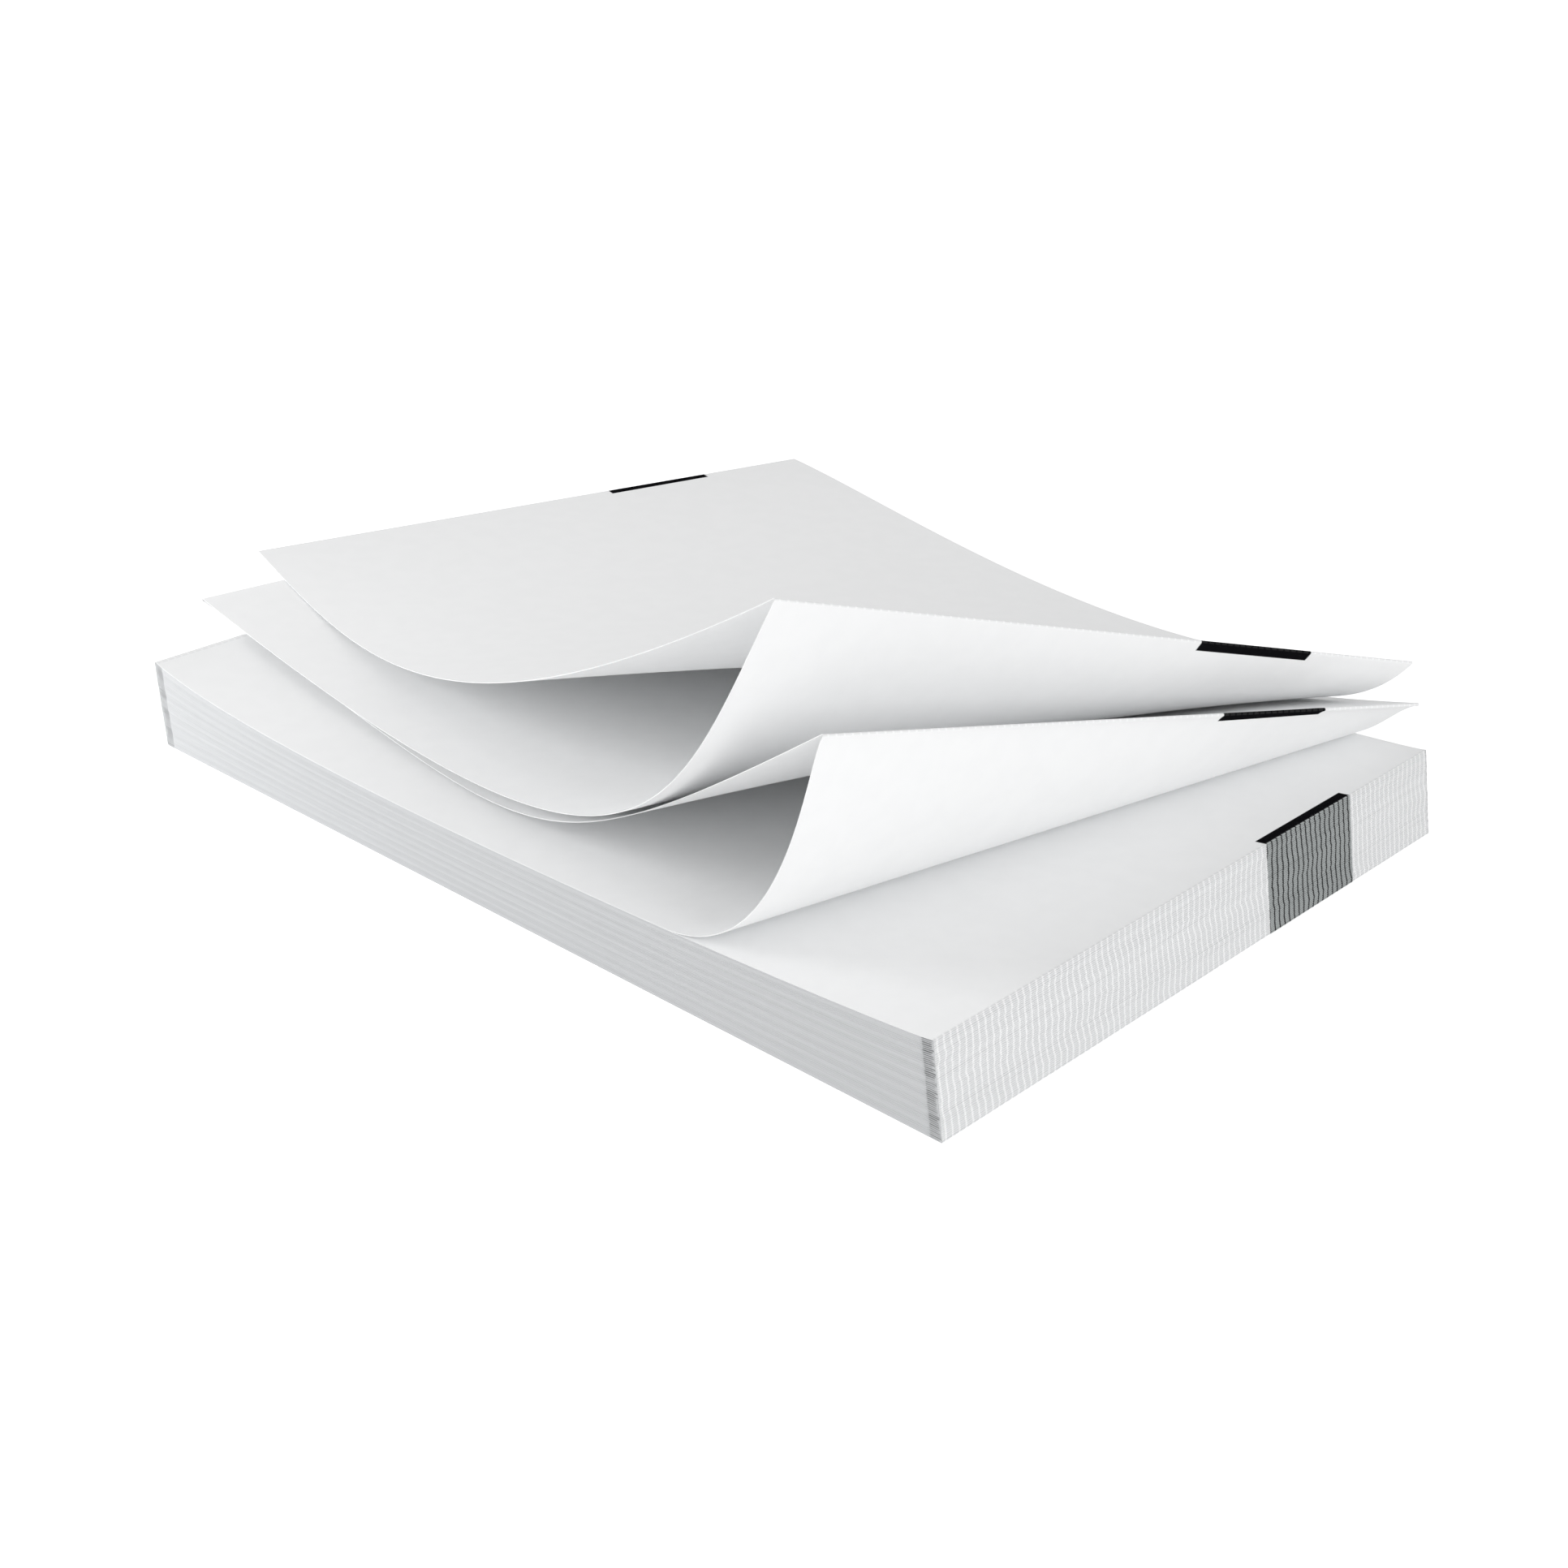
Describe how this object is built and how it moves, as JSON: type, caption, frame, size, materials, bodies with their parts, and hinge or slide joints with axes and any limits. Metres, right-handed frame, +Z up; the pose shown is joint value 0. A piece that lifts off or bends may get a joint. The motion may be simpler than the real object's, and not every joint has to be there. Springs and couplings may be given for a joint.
{
  "type": "fanfold continuous form paper",
  "caption": "Continuous blank paper folded to and fro at its perforations into a flat block, with the top pages lifted and curled.",
  "frame": {"origin": "middle of the block's flat underside", "axes": "+X along a page, towards the block's end where the black marks and folds show; +Y across the web, away from the lifted corners; +Z up"},
  "size_m": [0.3363, 0.2695, 0.1069],
  "materials": {
    "paper": "smooth uncoated white paper, matt"
  },
  "bodies": {
    "root": {"paper_web": "paper"}
  },
  "joints": []
}
